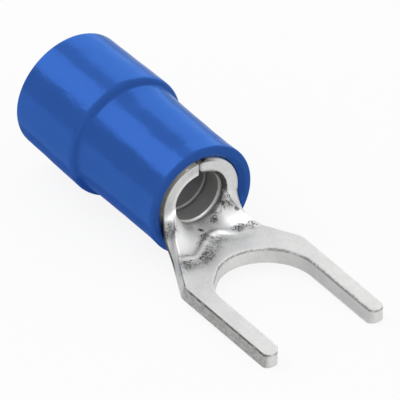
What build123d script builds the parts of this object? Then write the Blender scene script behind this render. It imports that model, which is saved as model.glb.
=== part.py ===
from build123d import *
import os
from math import degrees, sqrt

# Insulated fork terminal: a one-piece stamped and rolled fork in a stepped plastic sleeve.
# Origin: centre of the stud seat, on the underside of the tongue. X runs along the barrel
# towards the prong tips, Y runs across the prongs, Z is up. Lengths are in millimetres.

# Sheet metal
sheet = 0.7

# Fork tongue, with lengths measured from the stud centre
slot_width = 4.3
prong_width = 0.67
prong_reach = 3.87
tip_round = 0.30
web = 0.89
flank_length = 1.40
near_shoulder_round = 0.25
far_shoulder_round = 0.80

# Trough where the sheet unrolls from the barrel to the flat tongue
neck_length = 1.48
neck_end_width = 4.14
neck_offset = -0.07
waist_width = 3.66
waist_blend = 0.35
inner_root_round = 0.70
outer_root_round = 0.25
unroll_power = 1.4
flat_bend_radius = 900.0
trough_sections = 8
section_crowding = 1.7

# Rolled barrel
barrel_length = 4.6
bore_radius = 1.12
belly_lift = 0.07

# Butted seam along the top of the barrel
seam_gap = 0.04
seam_offset = 0.04
seam_outer_width = 0.26
seam_outer_depth = 0.36
seam_inner_width = 0.30
seam_inner_depth = 0.20

# Gripping grooves inside the barrel
groove_count = 3
groove_first = 0.32
groove_pitch = 0.95
groove_width = 0.18
groove_depth = 0.10

# Raised border left across the tongue where its front was pressed flat
border_width = 0.28
border_height = 0.08
border_apex = 0.74
border_knee = 1.16
border_end = 1.70
border_round = 0.35

# Insulating sleeve
sleeve_clearance = 0.03
grip_wall = 0.51
grip_length = 4.97
lip_reach = 0.14
lip_flare = 0.04
lip_length = 0.80
lip_round = 0.18
mouth_flare = 0.26
mouth_length = 0.70
mouth_round = 0.08
bell_length = 3.92
bell_bore_radius = 2.08
shoulder_wall = 0.56
rear_wall = 0.46
step_run = 0.22
step_round = 0.28
entry_chamfer = 0.10
rear_round = 0.06

# Places along X that follow from the sizes
slot_radius = slot_width / 2
neck_end_x = -slot_radius - web
shoulder_x = neck_end_x + flank_length
barrel_front_x = neck_end_x - neck_length
barrel_rear_x = barrel_front_x - barrel_length
sleeve_front_x = barrel_front_x + lip_reach
step_x = sleeve_front_x - grip_length
sleeve_rear_x = step_x - bell_length

# Radii, half widths and heights that follow from the sizes
barrel_radius = bore_radius + sheet
bend_middle_radius = bore_radius + sheet / 2
axis_height = belly_lift + barrel_radius
tongue_half = slot_radius + prong_width
neck_half = neck_end_width / 2
waist_half = waist_width / 2
flank_slope = (tongue_half - neck_half) / flank_length
grip_bore_radius = barrel_radius + sleeve_clearance
grip_radius = grip_bore_radius + grip_wall


def across(x, height):
    """Plane at x that faces the prong tips, with its origin at a height."""
    return Plane(origin=(x, 0, height), x_dir=(0, 1, 0), z_dir=(1, 0, 0))


def flat_half_width(behind, root_round):
    """Half the sheet's unrolled width, at a distance behind the flat end of the neck."""
    kink = (neck_half - waist_half) / flank_slope
    if behind < kink - waist_blend:
        half = neck_half - flank_slope * behind
    elif behind < kink + waist_blend:
        half = waist_half + flank_slope * (kink + waist_blend - behind) ** 2 / (4 * waist_blend)
    else:
        half = waist_half
    into_root = max(root_round - (neck_length - behind), 0)
    return half + root_round - sqrt(root_round**2 - into_root**2)


def bend_radius(share):
    """Radius of the sheet's middle at a share of the trough, from rolled at 0 to flat at 1."""
    curvature = (1 - share) ** unroll_power / bend_middle_radius
    return 1 / max(curvature, 1 / flat_bend_radius)


# Fork: the tongue, the trough and the barrel are one folded sheet
with BuildPart() as metal_fork:
    # Tongue with its two prongs
    with BuildSketch(Plane.XY) as tongue:
        with BuildLine():
            Polyline(
                (neck_end_x, neck_offset - neck_half),
                (shoulder_x, -tongue_half),
                (prong_reach, -tongue_half),
                (prong_reach, tongue_half),
                (shoulder_x, tongue_half),
                (neck_end_x, neck_offset + neck_half),
                close=True,
            )
        make_face()
        near_shoulder, far_shoulder = tongue.vertices().group_by(Axis.X)[1].sort_by(Axis.Y)
        fillet(near_shoulder, near_shoulder_round)
        fillet(far_shoulder, far_shoulder_round)
        Circle(slot_radius, mode=Mode.SUBTRACT)
        with Locations((prong_reach / 2, 0)):
            Rectangle(prong_reach, slot_width, mode=Mode.SUBTRACT)
        fillet(tongue.vertices().group_by(Axis.X)[-1], tip_round)
    extrude(amount=sheet)

    # Trough, whose sections stand closer together towards the barrel
    for index in range(trough_sections + 1):
        share = (index / trough_sections) ** section_crowding
        behind = neck_length * (1 - share)
        middle = bend_radius(share)
        lean = -90 + degrees(neck_offset / middle)
        outer_wrap = degrees(flat_half_width(behind, outer_root_round) / middle)
        inner_wrap = degrees(flat_half_width(behind, inner_root_round) / middle)
        lift = belly_lift * (1 - share)
        with BuildSketch(across(neck_end_x - behind, lift + sheet / 2 + middle)):
            with BuildLine():
                under = CenterArc((0, 0), middle + sheet / 2, lean - outer_wrap, 2 * outer_wrap)
                upper = CenterArc((0, 0), middle - sheet / 2, lean - inner_wrap, 2 * inner_wrap)
                Line(under @ 0, upper @ 0)
                Line(under @ 1, upper @ 1)
            make_face()
    loft()

    # Barrel
    with BuildSketch(across(barrel_rear_x, axis_height)):
        Circle(barrel_radius)
        Circle(bore_radius, mode=Mode.SUBTRACT)
    extrude(amount=barrel_length)

    # Flat pressed back into the trough, in a wedge
    with BuildSketch(Plane.XY.offset(sheet)):
        with BuildLine():
            Polyline(
                (neck_end_x, -border_knee),
                (neck_end_x - border_apex, 0),
                (neck_end_x, border_knee),
                close=True,
            )
        make_face()
    extrude(amount=sheet, mode=Mode.SUBTRACT)

    # Raised border of the flat, a half-sunk bead
    bead_radius = border_width / 2
    knee_x = neck_end_x - bead_radius
    with BuildLine(Plane.XY.offset(sheet + border_height - bead_radius)) as border:
        FilletPolyline(
            (knee_x, -border_end),
            (knee_x, -border_knee),
            (neck_end_x - border_apex, 0),
            (knee_x, border_knee),
            (knee_x, border_end),
            radius=border_round,
        )
    with BuildSketch(Plane(origin=border.line @ 0, z_dir=border.line % 0)):
        Circle(bead_radius)
    sweep(path=border.line)
    with Locations(border.line @ 0, border.line @ 1):
        Sphere(bead_radius)

    # Butted seam, open a little wider at both faces of the sheet
    seam_narrow_top = barrel_radius - seam_outer_depth
    seam_narrow_foot = bore_radius + seam_inner_depth
    with BuildSketch(across(barrel_rear_x, axis_height)):
        with Locations((seam_offset, 0)):
            with BuildLine():
                Polyline(
                    (-seam_outer_width / 2, barrel_radius),
                    (-seam_gap / 2, seam_narrow_top),
                    (-seam_gap / 2, seam_narrow_foot),
                    (-seam_inner_width / 2, bore_radius - seam_inner_depth),
                    (seam_inner_width / 2, bore_radius - seam_inner_depth),
                    (seam_gap / 2, seam_narrow_foot),
                    (seam_gap / 2, seam_narrow_top),
                    (seam_outer_width / 2, barrel_radius),
                    close=True,
                )
            make_face()
    extrude(amount=barrel_length, mode=Mode.SUBTRACT)

    # Gripping grooves
    for index in range(groove_count):
        groove_x = barrel_front_x - groove_first - groove_pitch * index
        with BuildSketch(across(groove_x, axis_height)):
            Circle(bore_radius + groove_depth)
        extrude(amount=-groove_width, mode=Mode.SUBTRACT)

# Sleeve: a grip on the barrel and a wider bell for the covering of the wire
with BuildPart() as insulating_sleeve:
    barrel_axis = Axis((0, 0, axis_height), (1, 0, 0))
    long_section = Plane(origin=(0, 0, axis_height), x_dir=(1, 0, 0), z_dir=(0, -1, 0))
    shoulder_x_rear = step_x - step_run / 2
    shoulder_x_front = step_x + step_run / 2
    shoulder = (shoulder_x_rear, bell_bore_radius + shoulder_wall)
    step_foot = (shoulder_x_front, grip_radius)
    lip = (sleeve_front_x, grip_radius + lip_flare)
    mouth = (sleeve_front_x, grip_bore_radius + mouth_flare)
    entry = (sleeve_rear_x, bell_bore_radius)
    rear_rim = (sleeve_rear_x, bell_bore_radius + rear_wall)
    with BuildSketch(long_section) as wall:
        with BuildLine():
            Polyline(
                rear_rim,
                shoulder,
                step_foot,
                (sleeve_front_x - lip_length, grip_radius),
                lip,
                mouth,
                (sleeve_front_x - mouth_length, grip_bore_radius),
                (shoulder_x_front, grip_bore_radius),
                (shoulder_x_rear, bell_bore_radius),
                entry,
                close=True,
            )
        make_face()
        for corner, radius in (
            (shoulder, step_round),
            (step_foot, step_round),
            (lip, lip_round),
            (mouth, mouth_round),
            (rear_rim, rear_round),
        ):
            fillet(wall.vertices().sort_by_distance(corner)[0], radius)
        chamfer(wall.vertices().sort_by_distance(entry)[0], entry_chamfer)
    revolve(axis=barrel_axis)

os.makedirs("parts", exist_ok=True)
metal_fork.part.label = "metal_fork"
export_step(metal_fork.part, "parts/metal_fork.step")
insulating_sleeve.part.label = "insulating_sleeve"
export_step(insulating_sleeve.part, "parts/insulating_sleeve.step")
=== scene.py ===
from math import ceil, pi, radians, tan
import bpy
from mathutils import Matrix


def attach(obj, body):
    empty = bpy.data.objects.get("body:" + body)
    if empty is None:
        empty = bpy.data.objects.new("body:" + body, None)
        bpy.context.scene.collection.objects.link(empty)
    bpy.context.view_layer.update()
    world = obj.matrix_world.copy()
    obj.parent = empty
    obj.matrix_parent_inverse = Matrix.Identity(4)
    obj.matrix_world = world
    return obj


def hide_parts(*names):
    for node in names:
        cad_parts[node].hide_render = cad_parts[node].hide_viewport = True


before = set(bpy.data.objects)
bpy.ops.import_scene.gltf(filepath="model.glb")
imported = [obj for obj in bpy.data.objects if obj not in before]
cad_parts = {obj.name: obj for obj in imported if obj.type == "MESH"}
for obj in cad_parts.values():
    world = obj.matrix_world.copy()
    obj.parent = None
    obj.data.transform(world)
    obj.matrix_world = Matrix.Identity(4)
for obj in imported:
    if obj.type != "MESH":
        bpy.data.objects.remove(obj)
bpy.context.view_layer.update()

from types import SimpleNamespace

import bpy
import numpy as np
from bpy.props import FloatProperty, FloatVectorProperty, IntProperty, PointerProperty
from mathutils import Matrix, Vector
from mathutils.geometry import delaunay_2d_cdt

bl_info = {
    "name": "Insulated fork terminal",
    "version": (1, 0, 0),
    "blender": (4, 5, 0),
    "location": "View3D > Sidebar > Terminal",
    "description": "Builds a crimp fork terminal in its insulating sleeve, on a studio floor",
    "category": "Add Mesh",
}

# A millimetre in metres, the unit of the frame
MM = 0.001


# Sizes and finishes that a user would change


class ForkSizes(bpy.types.PropertyGroup):
    """Sizes of the stamped and rolled fork"""

    sheet: FloatProperty(
        name="Sheet", description="Thickness of the metal sheet", default=0.0007, unit="LENGTH"
    )
    slot_width: FloatProperty(
        name="Slot width", description="Clear width between the prongs", default=0.0043, unit="LENGTH"
    )
    prong_width: FloatProperty(
        name="Prong width", description="Width of each prong", default=0.00067, unit="LENGTH"
    )
    prong_reach: FloatProperty(
        name="Prong reach", description="From the stud centre to the tips", default=0.00387, unit="LENGTH"
    )
    web: FloatProperty(
        name="Web", description="Metal between the slot and the neck", default=0.00089, unit="LENGTH"
    )
    flank_length: FloatProperty(
        name="Flank length", description="Length over which the tongue widens",
        default=0.0014, unit="LENGTH",
    )
    neck_length: FloatProperty(
        name="Neck length", description="Length of the open trough", default=0.00148, unit="LENGTH"
    )
    waist_width: FloatProperty(
        name="Waist width", description="Unrolled width of the trough", default=0.00366, unit="LENGTH"
    )
    neck_offset: FloatProperty(
        name="Neck offset", description="Sideways shift of the neck", default=-0.00007, unit="LENGTH"
    )
    barrel_length: FloatProperty(
        name="Barrel length", description="Length of the rolled barrel", default=0.0046, unit="LENGTH"
    )
    bore_radius: FloatProperty(
        name="Bore radius", description="Inner radius of the barrel", default=0.00112, unit="LENGTH"
    )
    belly_lift: FloatProperty(
        name="Belly lift", description="How far the barrel stands above the tongue",
        default=0.00007, unit="LENGTH",
    )
    border_width: FloatProperty(
        name="Border width", description="Width of the raised border", default=0.00028, unit="LENGTH"
    )
    border_height: FloatProperty(
        name="Border height", description="Height of the raised border", default=0.00008, unit="LENGTH"
    )
    groove_depth: FloatProperty(
        name="Groove depth", description="Depth of the gripping grooves", default=0.0001, unit="LENGTH"
    )


class SleeveSizes(bpy.types.PropertyGroup):
    """Sizes of the insulating sleeve"""

    clearance: FloatProperty(
        name="Clearance", description="Gap round the barrel", default=0.00003, unit="LENGTH"
    )
    grip_wall: FloatProperty(
        name="Grip wall", description="Wall of the narrow part", default=0.00051, unit="LENGTH"
    )
    grip_length: FloatProperty(
        name="Grip length", description="Length of the narrow part", default=0.00497, unit="LENGTH"
    )
    lip_reach: FloatProperty(
        name="Lip reach", description="How far the lip stands past the barrel",
        default=0.00014, unit="LENGTH",
    )
    bell_length: FloatProperty(
        name="Bell length", description="Length of the wide part", default=0.00392, unit="LENGTH"
    )
    bell_bore_radius: FloatProperty(
        name="Bell bore radius", description="Inner radius of the wide part", default=0.00208, unit="LENGTH"
    )
    turns: IntProperty(
        name="Turns", description="Faces round the sleeve", default=288, min=24, max=600
    )


class Finishes(bpy.types.PropertyGroup):
    """Colours of the two materials"""

    tin: FloatVectorProperty(
        name="Tin plate", description="Colour of the clean tin plate",
        default=(0.58, 0.58, 0.575), subtype="COLOR", min=0, max=1,
    )
    # The same colour also paints shade on the far ear's inner side, by the seam and on the trough floor by
    # the near band
    tarnish: FloatVectorProperty(
        name="Tarnish", description="Colour of the marks by the folds and the cut edges",
        default=(0.045, 0.045, 0.043), subtype="COLOR", min=0, max=1,
    )
    vinyl: FloatVectorProperty(
        name="Blue vinyl", description="Colour of the insulating sleeve",
        default=(0.028, 0.095, 0.365), subtype="COLOR", min=0, max=1,
    )
    vinyl_gloss: FloatVectorProperty(
        name="Vinyl gloss tint", description="Tint of the sleeve's highlights",
        default=(0.34, 0.62, 1.0), subtype="COLOR", min=0, max=1,
    )


class StudioSettings(bpy.types.PropertyGroup):
    """Light and camera of the studio"""

    lens: FloatProperty(
        name="Lens", description="Focal length of the camera",
        default=1650.0, subtype="DISTANCE_CAMERA",
    )
    soft_light: FloatProperty(
        name="Soft light", description="Radiance of the large softboxes, where 1 is white", default=2.0
    )
    ambient: FloatProperty(
        name="Ambient", description="Strength of the light from all round", default=0.75
    )


def in_millimetres(group):
    """A property group's lengths in millimetres, and its other values as they are."""
    made = SimpleNamespace()
    for name in group.__annotations__:
        value = getattr(group, name)
        is_length = group.bl_rna.properties[name].unit == "LENGTH"
        setattr(made, name, value / MM if is_length else value)
    return made


# Outlines with rounded corners

# Points measured at once, which keeps the arrays small
BATCH = 2000


def left_of(direction):
    """The direction a quarter turn to the left."""
    return np.array((-direction[1], direction[0]))


def corner_arc(corner, before, after, radius, steps):
    """Points of the round that turns one direction into the next at a corner."""
    turn = np.arctan2(np.cross(before, after), before @ after)
    start = corner - before * radius * tan(abs(turn) / 2)
    centre = start + np.sign(turn) * left_of(before) * radius
    spoke = start - centre
    angles = turn * np.linspace(0, 1, steps + 1)
    return centre + np.outer(np.cos(angles), spoke) + np.outer(np.sin(angles), left_of(spoke))


def rounded_outline(corners, insets, radii, arc_steps, run_steps, least_radius=0.06):
    """Closed outline, counter-clockwise, with each side moved inwards by its own inset.

    The least radius keeps an inset corner from closing to a point. Returns the points, and for
    each point the side before, the side after and the share between.
    """
    corners = np.array(corners, float)
    count = len(corners)
    heading = np.roll(corners, -1, 0) - corners
    heading /= np.linalg.norm(heading, axis=1)[:, None]
    arcs = []
    for i in range(count):
        before, after = heading[i - 1], heading[i]
        inward = np.array((left_of(before), left_of(after)))
        distances = inward @ corners[i] + (insets[i - 1], insets[i])
        corner = np.linalg.solve(inward, distances)
        side = np.sign(np.cross(before, after))
        inset_radius = radii[i] - side * (insets[i - 1] + insets[i]) / 2
        radius = max(inset_radius, min(radii[i], least_radius))
        arcs.append(corner_arc(corner, before, after, radius, arc_steps[i]))
    points, sides = [], []
    for i, arc in enumerate(arcs):
        following = arcs[(i + 1) % count]
        # Where no straight run follows, the next arc starts at this arc's last point
        kept = len(arc) if run_steps[i] else len(arc) - 1
        for k in range(kept):
            points.append(arc[k])
            sides.append(((i - 1) % count, i, k / (len(arc) - 1)))
        for k in range(1, run_steps[i]):
            points.append(arc[-1] + (following[0] - arc[-1]) * k / run_steps[i])
            sides.append((i, i, 0.0))
    return np.array(points), np.array(sides)


def rounded_path(corners, radius, steps=8):
    """Open path with rounded corners."""
    corners = np.array(corners, float)
    parts = [corners[:1]]
    for before, corner, after in zip(corners, corners[1:], corners[2:]):
        into = (corner - before) / np.linalg.norm(corner - before)
        out = (after - corner) / np.linalg.norm(after - corner)
        parts.append(corner_arc(corner, into, out, radius, steps))
    parts.append(corners[-1:])
    return np.concatenate(parts)


def ramp(low, high, value):
    """0 below low and 1 above high, with a smooth rise between."""
    share = np.clip((value - low) / (high - low), 0, 1)
    return share * share * (3 - 2 * share)


def row_at(x, along):
    """Points in a row across the blank, at one x."""
    return np.column_stack((np.full(len(along), x), along))


def inside(points, outline):
    """Whether each point is inside a closed outline."""
    x, y = points[:, 0:1], points[:, 1:2]
    x0, y0 = outline[:, 0], outline[:, 1]
    x1, y1 = np.roll(x0, -1), np.roll(y0, -1)
    # A level side is never crossed, and its rise is only kept from being zero
    rise = np.where(y1 == y0, 1e-12, y1 - y0)
    crossed = ((y0 > y) != (y1 > y)) & (x < x0 + (y - y0) * (x1 - x0) / rise)
    return crossed.sum(1) % 2 == 1


def distance_to_points(points, others):
    """Distance from each point to the nearest of the others."""
    nearest = np.empty(len(points))
    for first in range(0, len(points), BATCH):
        part = points[first:first + BATCH]
        gaps = part[:, None, :] - others[None, :, :]
        nearest[first:first + BATCH] = np.sqrt((gaps**2).sum(2).min(1))
    return nearest


def signed_distance(points, path):
    """Distance from an open path, negative to the left of its direction."""
    starts = path[:-1]
    along = path[1:] - starts
    length2 = (along**2).sum(1)
    signed = np.empty(len(points))
    for first in range(0, len(points), BATCH):
        part = points[first:first + BATCH, None, :] - starts[None]
        share = np.clip((part * along).sum(2) / length2, 0, 1)
        gap = part - share[..., None] * along
        distance = np.sqrt((gap**2).sum(2))
        side = np.sign(part[..., 0] * along[:, 1] - part[..., 1] * along[:, 0])
        nearest = distance.argmin(1)
        rows = np.arange(len(nearest))
        signed[first:first + BATCH] = distance[rows, nearest] * side[rows, nearest]
    return signed


def triangles_inside(outline, filling):
    """Triangles that fill an outline, as numbers of its own points and then of the filling's."""
    points = [Vector(point) for point in np.concatenate((outline, filling))]
    inside_only, tolerance = 1, 1e-7
    spots, _, triangles, sources, _, _ = delaunay_2d_cdt(
        points, [], [list(range(len(outline)))], inside_only, tolerance, True
    )
    spots = np.array([tuple(spot) for spot in spots])
    middles = np.array([spots[list(triangle)].mean(0) for triangle in triangles])
    return [
        [sources[corner][0] for corner in triangle]
        for triangle, kept in zip(triangles, inside(middles, outline)) if kept
    ]


def new_piece(name, points, faces, material, node):
    """Makes a smooth mesh from points in millimetres, which replaces a node of the CAD frame."""
    mesh = bpy.data.meshes.new(name)
    mesh.from_pydata((np.asarray(points) * MM).tolist(), [], faces)
    mesh.validate()
    mesh.polygons.foreach_set("use_smooth", [True] * len(mesh.polygons))
    mesh.materials.append(material)
    mesh.update()
    piece = bpy.data.objects.new(name, mesh)
    bpy.context.scene.collection.objects.link(piece)
    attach(piece, "root")
    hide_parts(node)
    return piece


# The fork

# Cut edges of the blank: inset and rise at the underside, inset and drop at the top,
# and the shape between, from 0, round, to 1, a straight bevel
CUT_EDGES = {
    "near_seam": (0.17, 0.26, 0.05, 0.06, 0.3),
    "far_seam": (0.20, 0.34, 0.30, 0.22, 0.3),
    "near_front": (0.09, 0.12, 0.05, 0.06, 0.7),
    "far_front": (0.03, 0.03, 0.18, 0.20, 0.8),
    "rear": (0.04, 0.04, 0.05, 0.05, 0.0),
    "ear": (0.04, 0.05, 0.05, 0.06, 0.0),
    "near_flank": (-0.05, 0.25, 0.10, 0.35, 1.0),
    "far_flank": (0.03, 0.03, 0.05, 0.06, 0.0),
    "prong": (0.03, 0.03, 0.05, 0.06, 0.0),
    "tip": (0.10, 0.10, 0.04, 0.05, 0.2),
    "near_inner": (0.03, 0.03, -0.05, 0.04, 0.0),
    "seat": (0.02, 0.03, 0.09, 0.12, 0.0),
    "far_inner": (-0.04, 0.03, 0.10, 0.12, 0.0),
}


class Fork:
    """The blank of the fork, the law that folds it, and the relief pressed into it.

    A place on the blank is x, along, the distance from the middle along the unrolled sheet,
    and height, the distance from the underside.
    """

    unroll_power = 1.4
    flat_bend_radius = 900.0
    near_shoulder_round = 0.25
    far_shoulder_round = 0.80
    tip_round = 0.30
    near_seat_round = 1.74
    inner_root_round = 0.70
    outer_root_round = 0.25
    kink_behind_neck_end = 0.448
    kink_round = 1.4
    seam_round = 0.16
    seam_gap = 0.04
    seam_offset = 0.04

    # Corners of the raised border, from the end of the neck and the middle of the tongue
    border_corners = (
        (-0.08, -1.92), (0.20, -1.38), (-0.66, -0.20), (-0.72, 0.34), (-0.28, 0.80), (-0.14, 1.60),
    )
    border_round = 0.22
    border_lift = 0.02
    # Where across the tongue the border rises, weakens by a share and fades away
    border_rises = (-1.95, -1.65)
    border_weakens = (0.4, 1.0)
    border_fades = (1.2, 1.65)
    weaker_by = 0.45
    # The pressed flat: how softly it starts and its half width, and how far the relief may reach
    # into the barrel and beside the tongue
    flat_blend = 0.06
    flat_half_width = 1.9
    relief_into_barrel = 0.3
    relief_beside_tongue = 0.1
    # Shares of the sheet's thickness between which the upper face begins
    upper_face = (0.8, 0.99)

    # Gripping grooves: place behind the barrel's front, share of the full depth, and strength of the
    # highlight painted on the rear wall
    grooves = ((0.16, 1.0, 0.9), (1.11, 0.55, 0.1), (2.06, 0.55, 0.1))
    groove_width = 0.18
    groove_blend = 0.02
    # Where the painted highlight rises and fades at a groove's rear wall, and how much of the bore's
    # painted shade it takes away
    shine_rises = (-0.05, -0.02)
    shine_fades = (0.01, 0.03)
    rubbed_away = 0.8
    # Where the painted shade of the bore fades, from the front wall of the first groove
    dull_fades = (-0.06, 0.02)

    # Distances between the mesh's points, and how far the close ones reach into the barrel
    fine_step = 0.05
    barrel_step = 0.11
    groove_step = 0.03
    groove_margin = 0.1
    fine_margin = 0.12
    row_share = 0.87
    edge_room = 0.6
    least_arc_steps = 6
    foot_steps, wall_steps, top_steps = 5, 5, 6

    def __init__(self, sizes):
        self.__dict__.update(vars(sizes))
        self.slot_radius = self.slot_width / 2
        self.tongue_half = self.slot_radius + self.prong_width
        self.neck_end = -self.slot_radius - self.web
        self.shoulder = self.neck_end + self.flank_length
        self.barrel_front = self.neck_end - self.neck_length
        self.barrel_rear = self.barrel_front - self.barrel_length
        self.fine_rear = self.barrel_front - self.fine_margin
        self.middle_radius = self.bore_radius + self.sheet / 2
        # The bore gets painted shade behind the front wall of the first groove, and none in front of it
        first_groove = self.barrel_front - self.grooves[0][0]
        self.dull_to_bright = [first_groove + place for place in self.dull_fades]

    def corners(self):
        """Corners of the blank with their radii at the underside and the top, and the kind of each side."""
        turn = pi * self.middle_radius
        near_seam = -turn - self.seam_offset + self.seam_gap / 2
        far_seam = turn - self.seam_offset - self.seam_gap / 2
        near_waist = self.neck_offset - self.waist_width / 2
        far_waist = self.neck_offset + self.waist_width / 2
        kink = self.neck_end - self.kink_behind_neck_end
        near_root = (self.barrel_front, near_waist)
        far_root = (self.barrel_front, far_waist)
        roots = (self.outer_root_round, self.inner_root_round)
        # The near quarter of the seat is two rounds with a short flat between
        facet = self.near_seat_round * tan(pi / 8)
        return [
            ((self.barrel_rear, near_seam), (self.seam_round,) * 2, "near_seam"),
            ((self.barrel_front, near_seam), (self.seam_round,) * 2, "near_front"),
            (near_root, roots, "ear"),
            ((kink, near_waist), (self.kink_round,) * 2, "near_flank"),
            ((self.shoulder, -self.tongue_half), (self.near_shoulder_round,) * 2, "prong"),
            ((self.prong_reach, -self.tongue_half), (self.tip_round,) * 2, "tip"),
            ((self.prong_reach, -self.slot_radius), (self.tip_round,) * 2, "near_inner"),
            ((-facet, -self.slot_radius), (self.near_seat_round,) * 2, "seat"),
            ((-self.slot_radius, -facet), (self.near_seat_round,) * 2, "seat"),
            ((-self.slot_radius, self.slot_radius), (self.slot_radius,) * 2, "far_inner"),
            ((self.prong_reach, self.slot_radius), (self.tip_round,) * 2, "tip"),
            ((self.prong_reach, self.tongue_half), (self.tip_round,) * 2, "prong"),
            ((self.shoulder, self.tongue_half), (self.far_shoulder_round,) * 2, "far_flank"),
            ((kink, far_waist), (self.kink_round,) * 2, "ear"),
            (far_root, roots, "far_front"),
            ((self.barrel_front, far_seam), (self.seam_round,) * 2, "far_seam"),
            ((self.barrel_rear, far_seam), (self.seam_round,) * 2, "rear"),
        ]

    def edge_steps(self, spots, radii):
        """Into how many steps each rounded corner is divided, and the straight run after it."""
        count = len(spots)
        sides = np.roll(spots, -1, 0) - spots
        lengths = np.linalg.norm(sides, axis=1)
        arc_steps, run_steps, reach = [], [], []
        for i in range(count):
            before, after = sides[i - 1], sides[i]
            turn = abs(np.arctan2(np.cross(before, after), before @ after))
            radius = max(radii[i])
            reach.append(radius * tan(turn / 2))
            arc_steps.append(max(self.least_arc_steps, ceil(radius * turn / self.fine_step)))
        for i in range(count):
            run = lengths[i] - reach[i] - reach[(i + 1) % count]
            run_steps.append(0 if run < 1e-6 else max(2, ceil(run / self.fine_step)))
        return arc_steps, run_steps

    def edge_profile(self, foot_inset, foot_rise, top_inset, top_drop, bevel):
        """Inset and height along a cut edge, from the underside to the top."""
        foot = np.linspace(0, 1, self.foot_steps + 1)
        wall = np.linspace(0, 1, self.wall_steps + 1)[1:-1]
        top = np.linspace(0, 1, self.top_steps + 1)
        foot_in = (1 - bevel) * (1 - np.sin(foot * pi / 2)) + bevel * (1 - foot)
        foot_up = (1 - bevel) * (1 - np.cos(foot * pi / 2)) + bevel * foot
        top_in = (1 - bevel) * (1 - np.cos(top * pi / 2)) + bevel * top
        top_up = (1 - bevel) * np.sin(top * pi / 2) + bevel * top
        wall_top = self.sheet - top_drop
        return np.concatenate((
            np.column_stack((foot_inset * foot_in, foot_rise * foot_up)),
            np.column_stack((wall * 0, foot_rise + (wall_top - foot_rise) * wall)),
            np.column_stack((top_inset * top_in, wall_top + top_drop * top_up)),
        ))

    def rings(self):
        """The rounded rings of the cut edge, from the underside to the top, as (x, along, height)."""
        rows = self.corners()
        spots = np.array([spot for spot, _, _ in rows])
        levels = np.array([self.edge_profile(*CUT_EDGES[kind]) for _, _, kind in rows])
        arc_steps, run_steps = self.edge_steps(spots, [radii for _, radii, _ in rows])
        ring_count = levels.shape[1]
        rings = []
        for k in range(ring_count):
            share = k / (ring_count - 1)
            radii = [low + (high - low) * share for _, (low, high), _ in rows]
            points, sides = rounded_outline(spots, levels[:, k, 0], radii, arc_steps, run_steps)
            before, after = sides[:, 0].astype(int), sides[:, 1].astype(int)
            blend = ramp(0, 1, sides[:, 2])
            height = levels[before, k, 1] * (1 - blend) + levels[after, k, 1] * blend
            rings.append(np.column_stack((points, height)))
        return rings

    def grid(self):
        """Points over the blank, close together in the tongue and the trough."""
        fine, coarse = self.fine_step, self.barrel_step
        rows = []
        x = self.fine_rear
        while x < self.prong_reach:
            shift = fine / 2 * (len(rows) % 2)
            rows.append(row_at(x, np.arange(-self.tongue_half, self.tongue_half, fine) + shift))
            x += fine * self.row_share
        places = list(np.arange(self.barrel_rear + coarse, self.fine_rear, coarse))
        for rear, _, _, _ in self.groove_walls():
            low, high = rear - self.groove_margin, rear + self.groove_width + self.groove_margin
            places = [place for place in places if not low < place < high]
            places.extend(np.arange(low, high, self.groove_step))
        turn = pi * self.middle_radius
        for x in sorted(places):
            rows.append(row_at(x, np.arange(-turn, turn, coarse)))
        for x in np.arange(self.fine_rear, self.barrel_front, fine):
            rows.append(row_at(x, np.arange(-turn, -self.tongue_half, coarse)))
            rows.append(row_at(x, np.arange(self.tongue_half, turn, coarse)))
        return np.concatenate(rows)

    def filling(self, outline):
        """Points of the grid inside an outline, with some room beside it."""
        points = self.grid()
        points = points[inside(points, outline)]
        in_barrel = points[:, 0] < self.fine_rear
        room = np.where(in_barrel, self.barrel_step, self.fine_step) * self.edge_room
        return points[distance_to_points(points, outline) > room]

    def fold(self, x, along, height):
        """Where a point of the blank goes when the sheet is rolled."""
        share = np.clip((x - self.barrel_front) / self.neck_length, 0, 1)
        curvature = (1 - share) ** self.unroll_power / self.middle_radius
        bend = 1 / np.maximum(curvature, 1 / self.flat_bend_radius)
        angle = along / bend
        inner = bend + self.sheet / 2 - height
        lift = self.belly_lift * (1 - share)
        y = inner * np.sin(angle)
        z = lift + self.sheet / 2 + bend - inner * np.cos(angle)
        return np.column_stack((x, y, z))

    def groove_walls(self):
        """The rear and front wall of each gripping groove, its share of the depth and the strength of its
        painted highlight.
        """
        for start, share, painted_highlight in self.grooves:
            front = self.barrel_front - start
            yield front - self.groove_width, front, share, painted_highlight

    def groove(self, x):
        """Depth of the gripping grooves at x."""
        depth = np.zeros(len(x))
        soft = self.groove_blend
        for rear, front, share, _ in self.groove_walls():
            depth += share * ramp(rear - soft, rear + soft, x) * (1 - ramp(front - soft, front + soft, x))
        return depth * self.groove_depth

    def ridge(self, x):
        """How strongly a highlight is painted on the rear wall of each gripping groove."""
        painted_highlight = np.zeros(len(x))
        for rear, _, _, strength in self.groove_walls():
            rise = [rear + place for place in self.shine_rises]
            fade = [rear + place for place in self.shine_fades]
            painted_highlight += strength * ramp(*rise, x) * (1 - ramp(*fade, x))
        return painted_highlight

    def border_path(self):
        """Centre line of the raised border, from the near side to the far side."""
        corners = np.array(self.border_corners) + (self.neck_end, 0)
        return rounded_path(corners, self.border_round)

    def press(self, folded, beside):
        """Flattens the tongue's side of the border and raises the border itself."""
        x, y, z = folded.T
        flattened = np.minimum(z, self.sheet)
        on_flat = ramp(-self.flat_blend, self.flat_blend, beside) * (np.abs(y) < self.flat_half_width)
        z = z + (flattened - z) * on_flat
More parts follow.
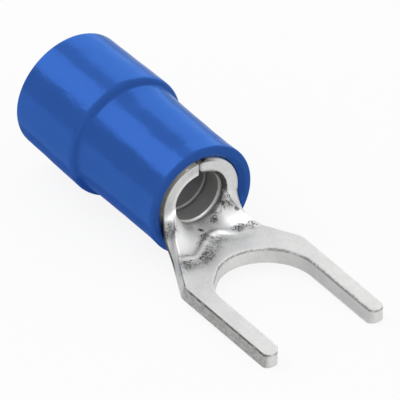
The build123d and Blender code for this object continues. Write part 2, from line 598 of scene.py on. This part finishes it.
        # Steep towards the barrel and gentle towards the tongue
        steep, gentle = 0.55 * self.border_width, 1.25 * self.border_width
        slope = np.where(beside < 0, -beside / steep, beside / gentle)
        weakened = 1 - self.weaker_by * ramp(*self.border_weakens, y)
        strength = ramp(*self.border_rises, y) * weakened * (1 - ramp(*self.border_fades, y))
        crest = self.sheet + (self.border_height + self.border_lift) * strength * (1 - ramp(0, 1, slope))
        gap = np.where((slope < 1) & (strength > 0), crest - z, -1)
        soft = 0.03
        z = np.where(gap > soft, crest, np.where(gap > -soft, z + (gap + soft) ** 2 / (4 * soft), z))
        return np.column_stack((x, y, z))


def build_fork(sizes, material):
    """Makes the fork's mesh from its folded blank."""
    fork = Fork(sizes)
    rings = fork.rings()
    count = len(rings[0])
    last = len(rings) - 1
    flat = np.concatenate(rings)
    wall = np.concatenate([np.full(count, float(0 < k < last)) for k in range(last + 1)])
    faces = []
    for k in range(last):
        low, high = k * count, (k + 1) * count
        for i in range(count):
            j = (i + 1) % count
            faces.append((low + i, low + j, high + j, high + i))
    for ring_index, height in ((0, 0.0), (last, fork.sheet)):
        outline = rings[ring_index][:, :2]
        filling = fork.filling(outline)
        first_new = len(flat)
        numbers = [
            *range(ring_index * count, (ring_index + 1) * count),
            *range(first_new, first_new + len(filling)),
        ]
        flat = np.concatenate((flat, np.column_stack((filling, np.full(len(filling), height)))))
        wall = np.concatenate((wall, np.zeros(len(filling))))
        for triangle in triangles_inside(outline, filling):
            corners = [numbers[corner] for corner in triangle]
            faces.append(corners if ring_index else corners[::-1])

    x, along, height = flat.T
    top = ramp(*fork.upper_face, height / fork.sheet)
    folded = fork.fold(x, along, height - fork.groove(x) * top)
    beside = signed_distance(folded[:, :2], fork.border_path())
    past_front = x > fork.barrel_front - fork.relief_into_barrel
    on_tongue = np.abs(along) < fork.tongue_half + fork.relief_beside_tongue
    in_front = past_front & on_tongue
    share = (top * in_front)[:, None]
    points = folded + (fork.press(folded, beside) - folded) * share
    points[:, 2] = np.maximum(points[:, 2], 0.0)
    piece = new_piece("fork_metal", points, faces, material, "metal_fork")
    far_from_border = 9.0
    marks = {
        "cut_wall": wall,
        "sheet_height": flat[:, 2] / fork.sheet,
        "beside_border": np.where(in_front & (top > 0.5), beside, far_from_border),
        # Where shade is painted inside the bore, taken away on the grooves' rear walls where highlights are
        # painted
        "in_bore": top * (1 - ramp(*fork.dull_to_bright, x)) * (1 - fork.rubbed_away * fork.ridge(x)),
    }
    for name, values in marks.items():
        layer = piece.data.attributes.new(name, "FLOAT", "POINT")
        layer.data.foreach_set("value", values.astype(np.float32))
    return piece


# The sleeve

# Slow sways of the sleeve's outside: rates along X and round it, phase and weight
SWAYS = ((2.1, 2, 0.4, 1.0), (3.7, -3, 1.9, 1.0), (6.1, 5, 4.2, 0.7))


class Sleeve:
    """The long section of the sleeve, which is turned round the barrel's axis."""

    shoulder_wall = 0.56
    rear_wall = 0.46
    rear_round = 0.06
    entry_chamfer = 0.10
    step_run = 0.22
    step_round = 0.34
    mouth_flare = 0.22
    mouth_length = 0.20
    mouth_round = 0.08
    lip_flare = 0.04
    lip_length = 0.80
    lip_round = 0.18
    lip_blend_round = 0.60
    # How far below the grip's radius the unevenness starts and is full
    uneven_depths = (0.25, 0.05)
    sway_depth = 0.0022
    # The swell in front of the step's foot, and where it rises
    swell_height = 0.06
    swell_length = 0.5
    swell_rises = (-0.05, 0.15)

    def __init__(self, sizes, fork):
        self.__dict__.update(vars(sizes))
        self.bore = fork.bore_radius + fork.sheet + self.clearance
        self.grip = self.bore + self.grip_wall
        self.front = fork.barrel_front + self.lip_reach
        self.step = self.front - self.grip_length
        self.rear = self.step - self.bell_length
        self.step_foot = self.step + self.step_run / 2
        self.axis_height = fork.belly_lift + fork.bore_radius + fork.sheet

    def section(self):
        """Corners of the wall, each with its round and the largest step along the side that follows."""
        bell_bore = self.bell_bore_radius
        shoulder = self.step - self.step_run / 2
        return (
            ((self.rear, bell_bore + self.entry_chamfer), 0.02, 0.05),
            ((self.rear + self.entry_chamfer, bell_bore), 0.05, 0.25),
            ((shoulder, bell_bore), 0.05, 0.08),
            ((self.step_foot, self.bore), 0.05, 0.25),
            ((self.front - self.mouth_length, self.bore), 0.10, 0.08),
            ((self.front, self.bore + self.mouth_flare), self.mouth_round, 0.08),
            ((self.front, self.grip + self.lip_flare), self.lip_round, 0.10),
            ((self.front - self.lip_length, self.grip), self.lip_blend_round, 0.12),
            ((self.step_foot, self.grip), self.step_round, 0.05),
            ((shoulder, bell_bore + self.shoulder_wall), self.step_round, 0.12),
            ((self.rear, bell_bore + self.rear_wall), self.rear_round, 0.10),
        )

    def outline(self):
        """Points round the wall's section, as (x, radius)."""
        corners, radii, longest = zip(*self.section())
        runs = np.linalg.norm(np.roll(corners, -1, 0) - corners, axis=1)
        arc_steps = [8 if radius > 0.1 else 5 for radius in radii]
        run_steps = [max(2, ceil(run / step)) for run, step in zip(runs, longest)]
        outline, _ = rounded_outline(corners, [0.0] * len(corners), radii, arc_steps, run_steps)
        return outline

    def uneven(self, x, angle, radius):
        """The radius with the slow sways of the outside, and a swell in front of the step."""
        outer = ramp(*(self.grip - depth for depth in self.uneven_depths), radius)
        sway = sum(
            weight * np.sin(along * x + around * angle + phase)
            for along, around, phase, weight in SWAYS
        )
        most = sum(weight for _, _, _, weight in SWAYS)
        radius = radius - self.sway_depth * (sway + most) * outer
        rise = [self.step_foot + place for place in self.swell_rises]
        fading = np.exp(-np.clip(x - self.step_foot, 0, None) / self.swell_length)
        return radius + self.swell_height * fading * ramp(*rise, x) * outer


def build_sleeve(sizes, fork_sizes, material):
    """Makes the sleeve's mesh by turning its long section round the barrel's axis."""
    sleeve = Sleeve(sizes, Fork(fork_sizes))
    outline = sleeve.outline()
    turns = sleeve.turns
    x = np.repeat(outline[:, 0], turns)
    angle = np.tile(np.linspace(0, 2 * pi, turns, endpoint=False), len(outline))
    radius = sleeve.uneven(x, angle, np.repeat(outline[:, 1], turns))
    points = np.column_stack((x, radius * np.sin(angle), sleeve.axis_height + radius * np.cos(angle)))
    faces = []
    for i in range(len(outline)):
        low, high = i * turns, (i + 1) % len(outline) * turns
        for k in range(turns):
            n = (k + 1) % turns
            faces.append((low + k, high + k, high + n, low + n))
    return new_piece("sleeve_vinyl", points, faces, material, "insulating_sleeve")


# Materials


class Wire:
    """A socket of a material with arithmetic, and the means to add any other node."""

    def __init__(self, tree, socket=None):
        self.tree = tree
        self.socket = socket

    def node(self, kind, settings=None, sockets=None, output=0):
        """Adds a node: its type, its settings, then the values or links of its sockets."""
        made = self.tree.nodes.new("ShaderNode" + kind)
        for name, value in (settings or {}).items():
            setattr(made, name, value)
        for name, value in (sockets or {}).items():
            if isinstance(value, Wire):
                self.tree.links.new(value.socket, made.inputs[name])
            else:
                made.inputs[name].default_value = value
        return Wire(self.tree, made.outputs[output])

    def math(self, operation, *values):
        """The result of a Math node."""
        return self.node("Math", {"operation": operation}, dict(enumerate(values)))

    def __add__(self, other):
        return self.math("ADD", self, other)

    def __sub__(self, other):
        return self.math("SUBTRACT", self, other)

    def __rsub__(self, other):
        return self.math("SUBTRACT", other, self)

    def __mul__(self, other):
        return self.math("MULTIPLY", self, other)

    __radd__ = __add__
    __rmul__ = __mul__

    def clamp(self):
        """The value held between 0 and 1."""
        return self.node("Clamp", sockets={"Value": self})

    def rise(self, low, high):
        """0 at low and 1 at high, with a smooth rise between."""
        return self.node(
            "MapRange",
            {"interpolation_type": "SMOOTHSTEP"},
            {"Value": self, "From Min": low, "From Max": high},
        )

    def part(self, axis):
        """One part of a vector: X, Y or Z."""
        return self.node("SeparateXYZ", sockets={0: self}, output="XYZ".index(axis))

    def noise(self, scale, detail, roughness):
        """Noise over a vector, with a scale in features a millimetre."""
        return self.node(
            "TexNoise",
            sockets={"Vector": self, "Scale": scale, "Detail": detail, "Roughness": roughness},
        )

    def spot(self, centre, radius):
        """1 near a place in millimetres, falling to 0 at a radius."""
        solid_share = 0.4
        away = self.node("VectorMath", {"operation": "DISTANCE"}, {0: self, 1: centre}, "Value")
        return 1 - away.rise(radius * solid_share, radius)

    def marks(self, spots):
        """The sum of spots, each with a centre, a radius and a weight."""
        first, *others = [self.spot(centre, radius) * weight for centre, radius, weight in spots]
        return sum(others, start=first)

    def mixed(self, first, second):
        """First colour where this value is 0, second where it is 1."""
        # The Mix node's colours are its sockets 6 and 7, and its output 2
        return self.node("Mix", {"data_type": "RGBA"}, {0: self, 6: first, 7: second}, 2)

    def attribute(self, name):
        """A value that the mesh holds for each point."""
        return self.node("Attribute", {"attribute_name": name}, output="Fac")


def colour(rgb):
    """A colour with full alpha."""
    return (*rgb, 1.0)


def new_material(name):
    """A material with an empty tree, and a wire to add its nodes with."""
    material = bpy.data.materials.new(name)
    material.use_nodes = True
    material.node_tree.nodes.clear()
    return material, Wire(material.node_tree)


def finish_material(wire, surface):
    """Leads a surface to the material's output."""
    output = wire.tree.nodes.new("ShaderNodeOutputMaterial")
    wire.tree.links.new(surface.socket, output.inputs["Surface"])


def millimetre_places(wire):
    """Places on the object in millimetres."""
    places = wire.node("TexCoord", output="Object")
    return wire.node("VectorMath", {"operation": "SCALE"}, {0: places, "Scale": 1 / MM})


# Places flecked with tarnish, in millimetres: centre, radius and how thickly
STEEP_SIDE_MARKS = (
    ((-3.70, -0.40, 0.78), 0.95, 1.3),
    ((-3.25, 1.20, 0.74), 0.85, 1.3),
    ((-3.05, -1.75, 0.8), 0.4, 0.8),
)
GENTLE_SIDE_MARKS = (
    ((-3.00, -0.45, 0.7), 1.25, 1.1),
    ((-2.65, -1.45, 0.7), 0.90, 1.0),
    ((-3.0, 0.9, 0.7), 0.6, 0.35),
)
NEAR_EAR = ((-4.22, -1.68, 1.30), 0.55)
FACE_MARKS_AND_SEAM_SHADE = (
    (*NEAR_EAR, 1.0),
    # The next two marks, at the top of the barrel's front by the seam, paint shade into it
    ((-4.52, -0.35, 3.45), 0.40, 0.45),
    ((-4.52, 0.08, 3.68), 0.26, 1.4),
    ((-4.52, -1.70, 2.20), 0.55, 0.40),
    ((-2.55, -2.15, 0.70), 0.60, 0.65),
    ((-3.37, 1.05, 0.76), 0.36, 1.3),
    ((-3.26, 1.54, 0.78), 0.30, 1.0),
    ((-3.59, -0.36, 0.80), 0.40, 0.9),
)
# Inside the barrel's front and on the far ear's inner side these flecks are thick enough to paint shade
# there
INSIDE_MARKS_AND_SHADE = (
    ((-4.30, 0.53, 0.86), 0.22, 1.5),
    ((-4.50, 0.35, 0.82), 0.75, 0.75),
    ((-4.42, 1.34, 1.50), 0.70, 1.0),
    ((-4.58, 1.10, 2.45), 0.90, 2.2),
    ((-4.62, 0.80, 1.20), 0.50, 0.70),
)

# Places darkened smoothly: centre, radius and how dark. The first two, on the far ear's inner side, and the
# last, on the trough floor by the near band, are painted shade; the others are stains
STAINS_AND_PAINTED_SHADE = (
    ((-4.60, 1.10, 2.45), 0.85, 0.78),
    ((-4.44, 1.30, 1.55), 0.65, 0.42),
    ((-4.07, -0.22, 0.76), 0.13, 0.85),
    ((-4.15, -0.28, 0.76), 0.11, 0.70),
    ((-3.99, 1.40, 1.20), 0.15, 0.80),
    ((-4.30, 0.53, 0.86), 0.11, 0.45),
    ((-3.58, -0.38, 0.80), 0.30, 0.15),
    ((-3.35, 1.08, 0.78), 0.20, 0.30),
    ((-2.75, -1.35, 0.70), 1.20, 0.19),
    ((-4.42, -0.67, 1.00), 0.42, 0.42),
)

# Tones of the tin plate that paint light in the trough, and paint shade on the near walls, on the outer
# edge of the barrel's mouth and in the bore
PAINTED_TROUGH_LIGHT = (0.80, 0.80, 0.79)
PAINTED_NEAR_WALL_SHADE = (0.33, 0.33, 0.325)
PAINTED_MOUTH_SHADE = (0.09, 0.09, 0.078)
PAINTED_BORE_SHADE = (0.31, 0.31, 0.30)


def fork_masks(wire):
    """Places on the fork in millimetres, and masks from 0 to 1 that follow its forms."""
    on = SimpleNamespace(place=millimetre_places(wire))
    on.cut = wire.attribute("cut_wall")
    on.height = wire.attribute("sheet_height")
    on.bore = wire.attribute("in_bore")
    beside = wire.attribute("beside_border")
    on.steep_side = beside.rise(-0.30, -0.14) * (1 - beside.rise(-0.08, 0.0))
    on.gentle_side = beside.rise(0.10, 0.24) * (1 - beside.rise(0.45, 1.05))

    along = on.place.part("X")
    across = on.place.part("Y")
    on.tongue = along.rise(-3.5, -2.9)
    on.inside = on.height.rise(0.70, 0.78) * along.rise(-4.74, -4.66)
    on.trough = on.inside * (1 - along.rise(-3.5, -3.1)) * along.rise(-4.66, -4.4)
    # The outer edge of the barrel's mouth, apart from its far side, where shade is painted in the gap to
    # the sleeve
    on.mouth_edge = (
        on.cut * (1 - on.tongue) * (1 - on.height.rise(0.14, 0.24)) * (1 - across.rise(0.3, 1.0))
    )

    # Cut walls of the tongue and the prongs, the top of those walls, and the near prong's outer wall, which
    # faces the near side and gets painted shade
    on.tongue_cut = on.cut * on.tongue
    on.rim = on.tongue_cut * on.height.rise(0.88, 0.95)
    facing = wire.node("NewGeometry", output="Normal").part("Y")
    near_side = (1 - across.rise(-0.5, 0.5)) * along.rise(-2.1, -1.6)
    on.near_wall = on.tongue_cut * (1 - facing.rise(-0.95, -0.45)) * near_side
    return on


def fleck_thickness(on):
    """How thickly the metal is flecked with tarnish, where 1 is fully; inside the barrel's front, on the
    far ear's inner side and by the seam the flecks also paint shade.
    """
    density = (
        on.steep_side * (on.place.marks(STEEP_SIDE_MARKS) + 0.1)
        + on.gentle_side * (on.place.marks(GENTLE_SIDE_MARKS) + 0.05)
        + on.inside * on.place.marks(INSIDE_MARKS_AND_SHADE)
        + on.place.marks(FACE_MARKS_AND_SEAM_SHADE)
        + on.near_wall * 0.35
    )
    patches = on.place.noise(4.0, 3.0, 0.6).rise(0.30, 0.62)
    return density * (patches * 0.5 + 0.5)


def torn_lip(on):
    """The torn lip of the cut along the top of the prongs."""
    ragged = on.height + (on.place.noise(7.0, 3.0, 0.7) - 0.5) * 0.16
    torn = ragged.rise(0.79, 0.84) * (1 - ragged.rise(0.92, 0.98))
    broken = on.place.noise(2.2, 4.0, 0.75).rise(0.33, 0.53)
    return on.tongue_cut * torn * broken * (on.near_wall * 0.25 + 0.75)


def tarnish_and_shade_amount(on, mottle):
    """How dark the tarnish and the painted shade are: flecks, the torn lip, smooth stains and smooth
    painted shade.
    """
    thickness = fleck_thickness(on)
    amount = thickness.clamp()
    grit = on.place.noise(13.0, 3.0, 0.8)
    edge = 0.64 - (thickness * 0.75).clamp() * 0.21
    flecked = grit.rise(edge, edge + 0.12) * (amount * 3).clamp()
    ear_stain = on.cut * on.place.spot(*NEAR_EAR) * 0.34
    stain_and_shade = (on.place.marks(STAINS_AND_PAINTED_SHADE) * on.inside + ear_stain) * (mottle.rise(0.25, 0.55) * 0.35 + 0.65)
    return (flecked * 0.62 + amount * 0.28 + torn_lip(on) * 0.75 + stain_and_shade).clamp()


def tin_plate(finishes):
    """Dull bright tin plate, with tarnish by the folds, the border and the cut edges, painted shade in the
    bore, by the seam, on the far ear, on the near walls and at the barrel's mouth, and painted light in the
    trough and on the grooves.
    """
    material, wire = new_material("tin_plate")
    on = fork_masks(wire)
    clouds = on.place.noise(1.3, 4.0, 0.6)
    mottle = on.place.noise(7.0, 3.0, 0.6)
    grains = on.place.noise(22.0, 2.0, 0.5)
    tarnish = tarnish_and_shade_amount(on, mottle)

    clean = ((clouds - 0.5) * 0.28 + (mottle - 0.5) * 0.26 + 0.94).clamp()
    tin = clean.mixed(colour((0.0, 0.0, 0.0)), colour(finishes.tin))
    # A lighter tone in the trough paints light there
    trough_lightened = (on.trough * 0.85).mixed(tin, colour(PAINTED_TROUGH_LIGHT))
    # Painted shade, mottled, on the cut walls that face the near side
    near_wall_shade = mottle.rise(0.38, 0.60) * 0.6 + clouds.rise(0.3, 0.7) * 0.15 + 0.25
    near_wall_shaded = (on.near_wall * near_wall_shade).mixed(trough_lightened, colour(PAINTED_NEAR_WALL_SHADE))
    # Painted shade on the outer edge of the barrel's mouth, mottled
    mouth_shade = on.mouth_edge * (mottle.rise(0.2, 0.5) * 0.4 + 0.6)
    mouth_shaded = mouth_shade.mixed(near_wall_shaded, colour(PAINTED_MOUTH_SHADE))
    # Painted shade inside the bore
    bore_shaded = (on.bore * 0.85).mixed(mouth_shaded, colour(PAINTED_BORE_SHADE))
    base = tarnish.mixed(bore_shaded, colour(finishes.tarnish))

    roughness = (
        0.32 + (mottle - 0.5) * 0.2 + tarnish * 0.2 + on.cut * 0.08 + on.bore * 0.15
        + on.rim * 0.25 + on.tongue * 0.14
    )
    relief = clouds * 0.35 + mottle * 0.5 + grains * 0.25
    bump = wire.node("Bump", sockets={"Strength": 0.25, "Distance": 0.00004, "Height": relief})
    surface = wire.node(
        "BsdfPrincipled",
        sockets={
            "Base Color": base,
            "Metallic": 0.55 - on.tongue * 0.2,
            "Roughness": roughness,
            "Normal": bump,
        },
    )
    finish_material(wire, surface)
    return material


def blue_vinyl(finishes):
    """Smooth satin-gloss blue vinyl with faint flow marks."""
    material, wire = new_material("blue_vinyl")
    place = millimetre_places(wire)
    stretched = place.node("VectorMath", {"operation": "MULTIPLY"}, {0: place, 1: (0.55, 1.0, 1.0)})
    flow = stretched.noise(0.9, 3.0, 0.5)
    pebble = place.noise(5.0, 2.0, 0.5)
    fine = place.noise(26.0, 2.0, 0.5)
    shade = ((flow - 0.5) * 0.30 + (pebble - 0.5) * 0.10 + 0.5).clamp()
    darker = [part * 0.86 for part in finishes.vinyl]
    lighter = [min(1, part * 1.14) for part in finishes.vinyl]
    base = shade.mixed(colour(darker), colour(lighter))
    roughness = 0.20 + (flow - 0.5) * 0.08 + (fine - 0.5) * 0.05
    relief = flow * 0.75 + stretched.noise(2.2, 2.0, 0.5) * 0.14 + pebble * 0.04 + fine * 0.006
    bump = wire.node("Bump", sockets={"Strength": 1.0, "Distance": 0.00005, "Height": relief})
    surface = wire.node(
        "BsdfPrincipled",
        sockets={
            "Base Color": base,
            "Roughness": roughness,
            "Metallic": 0.3,
            "IOR": 1.09,
            "Specular Tint": colour(finishes.vinyl_gloss),
            "Normal": bump,
        },
    )
    finish_material(wire, surface)
    return material


# The studio

# Middle of the object, in metres, and how far from it the lamps and the grey card stand
MIDDLE = Vector((-4.6 * MM, 0, 1.9 * MM))
LAMP_DISTANCE = 0.30

# Direction, width, length, brightness, the only piece that is lit, and whether it gives highlights
SOFTBOXES = {
    "softbox_near": ((-0.654, -0.308, 0.692), 0.19, 0.30, 0.90, None, True),
    "softbox_top": ((0.05, 0.12, 0.98), 0.16, 0.14, 1.32, "fork_metal", True),
    "softbox_front": ((0.90, 0.15, 0.40), 0.22, 0.22, 2.0, "fork_metal", True),
    "softbox_far": ((-0.654, 0.718, 0.240), 0.36, 0.30, 0.83, "sleeve_vinyl", True),
    "softbox_rear": ((-0.75, -0.65, 0.12), 0.10, 0.40, 1.2, "sleeve_vinyl", False),
    "softbox_low": ((-0.654, 0.757, 0.03), 0.18, 0.30, 1.0, "fork_metal", True),
}


def white_where_seen(wire):
    """1 for the rays that look at the background, straight or in a reflection."""
    seen = wire.node("LightPath", output="Is Camera Ray")
    mirrored = wire.node("LightPath", output="Is Glossy Ray")
    through = wire.node("LightPath", output="Is Transmission Ray")
    return (seen + mirrored + through).clamp()


def resting_plane(fork, sleeve):
    """Where the prong tips and the underside of the sleeve's lip rest, as a matrix with Z upwards."""
    floor_gap = 0.015
    lip = sleeve.front - sleeve.lip_round
    lip_drop = sleeve.clearance + sleeve.grip_wall + sleeve.lip_flare - fork.belly_lift
    tilt = np.arctan2(lip_drop, fork.prong_reach - lip)
    tips = Matrix.Translation((fork.prong_reach * MM, 0, -floor_gap * MM))
    return tips @ Matrix.Rotation(-tilt, 4, "Y")


def build_floor(plane):
    """A pale floor on the resting plane."""
    mesh = bpy.data.meshes.new("floor")
    half = 0.45
    mesh.from_pydata(
        [(-half, -half, 0), (half, -half, 0), (half, half, 0), (-half, half, 0)], [], [(0, 1, 2, 3)]
    )
    floor = bpy.data.objects.new("floor", mesh)
    floor.matrix_world = plane
    bpy.context.scene.collection.objects.link(floor)
    material, wire = new_material("floor_white")
    diffuse = wire.node("BsdfDiffuse", sockets={"Color": (0.86, 0.86, 0.86, 1)})
    glow = wire.node("Emission", sockets={"Color": (1, 1, 1, 1), "Strength": 1.0})
    # The part that doesn't glow keeps the object's shadow
    surface = wire.node("MixShader", sockets={0: white_where_seen(wire) * 0.88, 1: diffuse, 2: glow})
    finish_material(wire, surface)
    mesh.materials.append(material)


def build_world(ambient):
    """Light from all round, which is white where it is seen."""
    world = bpy.data.worlds.new("studio")
    world.use_nodes = True
    world.node_tree.nodes.clear()
    wire = Wire(world.node_tree)
    strength = white_where_seen(wire) * (1 - ambient) + ambient
    light = wire.node("Background", sockets={"Color": (1, 1, 1, 1), "Strength": strength})
    output = world.node_tree.nodes.new("ShaderNodeOutputWorld")
    world.node_tree.links.new(light.socket, output.inputs["Surface"])
    bpy.context.scene.world = world


def square_to(towards):
    """Three directions square to each other: near X, across, and towards."""
    towards = Vector(towards).normalized()
    across = towards.cross(Vector((1, 0, 0))).normalized()
    return across.cross(towards).normalized(), across, towards


def softbox(name, direction, width, length, radiance, lit_piece, highlights):
    """An area light that looks at the object from a direction, with its length near X."""
    lamp = bpy.data.lights.new(name, "AREA")
    lamp.shape = "RECTANGLE"
    lamp.size, lamp.size_y = length, width
    lamp.energy = radiance * pi * width * length
    box = bpy.data.objects.new(name, lamp)
    directions = square_to(direction)
    turned = Matrix(directions).transposed().to_4x4()
    box.matrix_world = Matrix.Translation(MIDDLE + directions[2] * LAMP_DISTANCE) @ turned
    bpy.context.scene.collection.objects.link(box)
    box.visible_glossy = highlights
    if lit_piece:
        lit = bpy.data.collections.new(name + "_reaches")
        lit.objects.link(bpy.data.objects[lit_piece])
        box.light_linking.receiver_collection = lit


def build_card(name, corners, glow):
    """A flat card that is seen in reflections only, with its own colour."""
    mesh = bpy.data.meshes.new(name)
    mesh.from_pydata([tuple(corner) for corner in corners], [], [(0, 1, 2, 3)])
    card = bpy.data.objects.new(name, mesh)
    bpy.context.scene.collection.objects.link(card)
    card.visible_camera = False
    card.visible_diffuse = False
    card.visible_shadow = False
    card.visible_transmission = False
    material, wire = new_material(name)
    surface = wire.node("Emission", sockets={"Color": colour(glow), "Strength": 1.0})
    finish_material(wire, surface)
    mesh.materials.append(material)


def build_cards(plane):
    """A grey card beside the near side, and a glowing card that paints the floor's shade under the sleeve
    into reflections.
    """
    long, across, towards = square_to((-0.654, -0.731, 0.196))
    centre = MIDDLE + towards * LAMP_DISTANCE
    half_length, half_width = 0.15, 0.10
    around = ((-1, -1), (1, -1), (1, 1), (-1, 1))
    grey = [centre + long * a * half_length + across * b * half_width for a, b in around]
    build_card("grey_card", grey, (0.25,) * 3)
    # In the resting plane, in millimetres
    # A glowing card under the sleeve, seen only in reflections, paints the floor's shade there
    rear, front, near, far, height = -19.5, -8.3, -3.1, 1.0, 0.004
    shaded = ((rear, near), (front, near), (front, far), (rear, far))
    corners = [plane @ (Vector((x, y, height)) * MM) for x, y in shaded]
    build_card("shaded_floor", corners, (0.16, 0.25, 0.50))


def build_camera(lens):
    """A long lens at the photograph's viewing angle."""
    azimuth, elevation, roll = radians(54.456), radians(36.495), radians(0.309)
    back = Vector((
        np.sin(azimuth) * np.cos(elevation), -np.cos(azimuth) * np.cos(elevation), np.sin(elevation)
    ))
    right = Vector((np.cos(azimuth), np.sin(azimuth), 0))
    up = back.cross(right)
    turned_right = right * np.cos(roll) + up * np.sin(roll)
    turned_up = up * np.cos(roll) - right * np.sin(roll)
    # The distance keeps the object's size in the picture when the lens changes
    fitted_lens, fitted_distance = 1650, 707.35
    to_right, downwards = 0.048, 0.062
    pivot = Vector((-4.594, 0, 1.89)) * MM
    distance = fitted_distance * MM * lens / fitted_lens
    place = pivot + back * distance + (turned_right * to_right - turned_up * downwards) * MM
    data = bpy.data.cameras.new("camera")
    data.lens = lens
    data.sensor_width = 36
    data.clip_start, data.clip_end = 0.05, 10
    camera = bpy.data.objects.new("camera", data)
    turned = Matrix((turned_right, turned_up, back)).transposed().to_4x4()
    camera.matrix_world = Matrix.Translation(place) @ turned
    bpy.context.scene.collection.objects.link(camera)
    bpy.context.scene.camera = camera


# Operators, panel and registration


class TERMINAL_OT_fork(bpy.types.Operator):
    """Add the stamped and rolled fork"""

    bl_idname = "mesh.terminal_fork"
    bl_label = "Fork"

    def execute(self, context):
        scene = context.scene
        build_fork(in_millimetres(scene.terminal_fork), tin_plate(scene.terminal_finishes))
        return {"FINISHED"}


class TERMINAL_OT_sleeve(bpy.types.Operator):
    """Add the insulating sleeve"""

    bl_idname = "mesh.terminal_sleeve"
    bl_label = "Sleeve"

    def execute(self, context):
        scene = context.scene
        build_sleeve(
            in_millimetres(scene.terminal_sleeve),
            in_millimetres(scene.terminal_fork),
            blue_vinyl(scene.terminal_finishes),
        )
        return {"FINISHED"}


class TERMINAL_OT_studio(bpy.types.Operator):
    """Add the floor, the light and the camera"""

    bl_idname = "scene.terminal_studio"
    bl_label = "Studio"

    def execute(self, context):
        scene = context.scene
        studio = scene.terminal_studio
        scene.view_settings.view_transform = "Standard"
        fork = Fork(in_millimetres(scene.terminal_fork))
        plane = resting_plane(fork, Sleeve(in_millimetres(scene.terminal_sleeve), fork))
        build_floor(plane)
        build_world(studio.ambient)
        for name, (direction, width, length, bright, lit_piece, highlights) in SOFTBOXES.items():
            softbox(name, direction, width, length, studio.soft_light * bright, lit_piece, highlights)
        build_cards(plane)
        build_camera(studio.lens)
        return {"FINISHED"}


class TERMINAL_PT_panel(bpy.types.Panel):
    """Builds the terminal step by step, with its sizes and finishes"""

    bl_idname = "TERMINAL_PT_panel"
    bl_label = "Fork terminal"
    bl_space_type = "VIEW_3D"
    bl_region_type = "UI"
    bl_category = "Terminal"

    def draw(self, context):
        for step in OPERATORS:
            self.layout.operator(step.bl_idname)
        for group in GROUPS:
            settings = getattr(context.scene, group)
            box = self.layout.box()
            for name in settings.__annotations__:
                box.prop(settings, name)


GROUPS = {
    "terminal_fork": ForkSizes,
    "terminal_sleeve": SleeveSizes,
    "terminal_finishes": Finishes,
    "terminal_studio": StudioSettings,
}
OPERATORS = (TERMINAL_OT_fork, TERMINAL_OT_sleeve, TERMINAL_OT_studio)
CLASSES = (*GROUPS.values(), *OPERATORS, TERMINAL_PT_panel)


def register():
    for item in CLASSES:
        bpy.utils.register_class(item)
    for name, group in GROUPS.items():
        setattr(bpy.types.Scene, name, PointerProperty(type=group))


def unregister():
    for name in GROUPS:
        delattr(bpy.types.Scene, name)
    for item in reversed(CLASSES):
        bpy.utils.unregister_class(item)


def main():
    register()
    bpy.ops.mesh.terminal_fork()
    bpy.ops.mesh.terminal_sleeve()
    bpy.ops.scene.terminal_studio()


if __name__ == "__main__":
    main()
